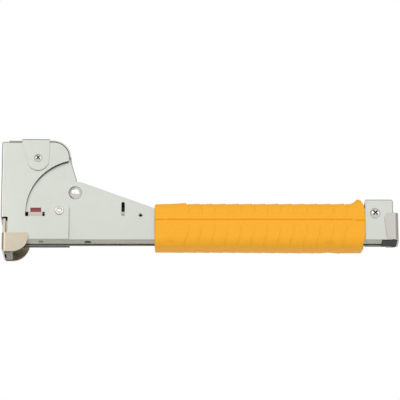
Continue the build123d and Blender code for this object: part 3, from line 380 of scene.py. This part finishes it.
mesh = bmesh.new()
grid = [[mesh.verts.new(point) for point in ring] for ring in rings]
for n, ring in enumerate(grid):
    following = grid[(n + 1) % len(grid)]
    for k in range(len(ring)):
        nxt = (k + 1) % len(ring)
        mesh.faces.new((ring[k], ring[nxt], following[nxt], following[k]))
bmesh.ops.recalc_face_normals(mesh, faces=mesh.faces[:])
for face in mesh.faces:
    face.smooth = True
grip_mesh = bpy.data.meshes.new("grip_sleeve")
mesh.to_mesh(grip_mesh)
mesh.free()
sleeve = bpy.data.objects.new("grip_sleeve", grip_mesh)
bpy.context.scene.collection.objects.link(sleeve)
grip_mesh.materials.append(yellow)
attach(sleeve, "frame")
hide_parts("grip")


# ---- springs: copies of the CAD springs, each attached to its body ----
def coil(name, body):
    """A copy of the CAD spring, attached to the given body with a mesh of its own."""
    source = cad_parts[name]
    piece = bpy.data.objects.new(name + "_coil", source.data.copy())
    bpy.context.scene.collection.objects.link(piece)
    piece.matrix_world = source.matrix_world.copy()
    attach(piece, body)
    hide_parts(name)
    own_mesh(piece)


coil("return_spring", "frame")
coil("pusher_spring", "pusher")


# ---- floor, light and camera ----
def plain(name, color, roughness):
    g = Graph(name, color, roughness=roughness)
    g.set(Roughness=g.ramp(g.noise(3, 3), [(0.3, roughness), (0.7, min(1.0, roughness + 0.05))]))
    return g.material


def area(name, place, target, size, power):
    light = bpy.data.lights.new(name, "AREA")
    light.shape = "RECTANGLE"
    light.size, light.size_y = size
    light.energy = power
    lamp = bpy.data.objects.new(name, light)
    bpy.context.scene.collection.objects.link(lamp)
    lamp.location = place
    lamp.rotation_euler = (Vector(target) - Vector(place)).to_track_quat("-Z", "Y").to_euler()
    return lamp


floor_mesh = bpy.data.meshes.new("floor")
floor_build = bmesh.new()
bmesh.ops.create_grid(floor_build, x_segments=8, y_segments=8, size=6)
floor_build.to_mesh(floor_mesh)
floor_build.free()
floor = bpy.data.objects.new("floor", floor_mesh)
floor_drop = 1.3
floor.location = (0.17, 0, -floor_drop)
bpy.context.scene.collection.objects.link(floor)
floor_mesh.materials.append(plain("floor_paint", (0.9, 0.9, 0.9), 0.8))

world = bpy.data.worlds.new("studio")
bpy.context.scene.world = world
world.use_nodes = True
sky_nodes, sky_links = world.node_tree.nodes, world.node_tree.links
sky = sky_nodes["Background"]
direction = sky_nodes.new("ShaderNodeSeparateXYZ")
sky_links.new(sky_nodes.new("ShaderNodeTexCoord").outputs["Generated"], direction.inputs[0])


def sky_ramp(fac, levels):
    gradient = sky_nodes.new("ShaderNodeValToRGB")
    elements = gradient.color_ramp.elements
    while len(elements) < len(levels):
        elements.new(0.5)
    for element, (position, level) in zip(elements, levels):
        element.position = position
        element.color = (level, level, level, 1)
    sky_links.new(fac, gradient.inputs["Fac"])
    return gradient.outputs["Color"]


def sky_math(kind, a, b, c=0.0):
    node = sky_nodes.new("ShaderNodeMath")
    node.operation = kind
    for socket, value in zip(node.inputs, (a, b, c)):
        if isinstance(value, float):
            socket.default_value = value
        else:
            sky_links.new(value, socket)
    return node.outputs[0]


# white walls in front and behind, grey at the ends and overhead, dark below, a little brighter to the right
facing = sky_math("ABSOLUTE", direction.outputs["Y"], 0.0)
walls = sky_ramp(facing, ((0.0, 0.42), (0.45, 0.55), (0.78, 1.0), (1.0, 1.0)))
height = sky_math("MULTIPLY_ADD", direction.outputs["Z"], 0.5, 0.5)
below = sky_ramp(height, ((0.0, 0.05), (0.14, 0.12), (0.30, 0.70), (0.42, 1.0)))
rightward = sky_math("MULTIPLY_ADD", direction.outputs["X"], 1.3, 1.0)
rightward = sky_math("MINIMUM", sky_math("MAXIMUM", rightward, 0.88), 1.12)
level = sky_math("MULTIPLY", sky_math("MULTIPLY", walls, below), rightward)
sky_links.new(sky_math("MULTIPLY", level, 1.22), sky.inputs["Strength"])
sky.inputs["Color"].default_value = (1, 1, 1, 1)
backdrop = sky_nodes.new("ShaderNodeBackground")
backdrop.inputs["Color"].default_value = (1, 1, 1, 1)
chooser = sky_nodes.new("ShaderNodeMixShader")
sky_links.new(sky_nodes.new("ShaderNodeLightPath").outputs["Is Camera Ray"], chooser.inputs["Fac"])
sky_links.new(sky.outputs[0], chooser.inputs[1])
sky_links.new(backdrop.outputs[0], chooser.inputs[2])
sky_links.new(chooser.outputs[0], sky_nodes["World Output"].inputs["Surface"])
bpy.context.scene.view_settings.view_transform = "Standard"

area("key", (-0.9, -1.7, 0.9), (0.17, 0, 0.04), (1.2, 0.8), 4)

camera_data = bpy.data.cameras.new("camera")
camera = bpy.data.objects.new("camera", camera_data)
bpy.context.scene.collection.objects.link(camera)
bpy.context.scene.camera = camera
tilt = math.radians(-18)
distance = 2.5
front_x = cad_box[0][0]
view_width = 0.354
target = Vector((front_x + 0.1753, 0, 0.0123 + 0.03955))
camera.location = target + Vector((0, -math.cos(tilt), math.sin(tilt))) * distance
camera.rotation_euler = (target - camera.location).to_track_quat("-Z", "Y").to_euler()
camera_data.sensor_width = 36
camera_data.lens = camera_data.sensor_width * distance / view_width
camera_data.clip_end = 20
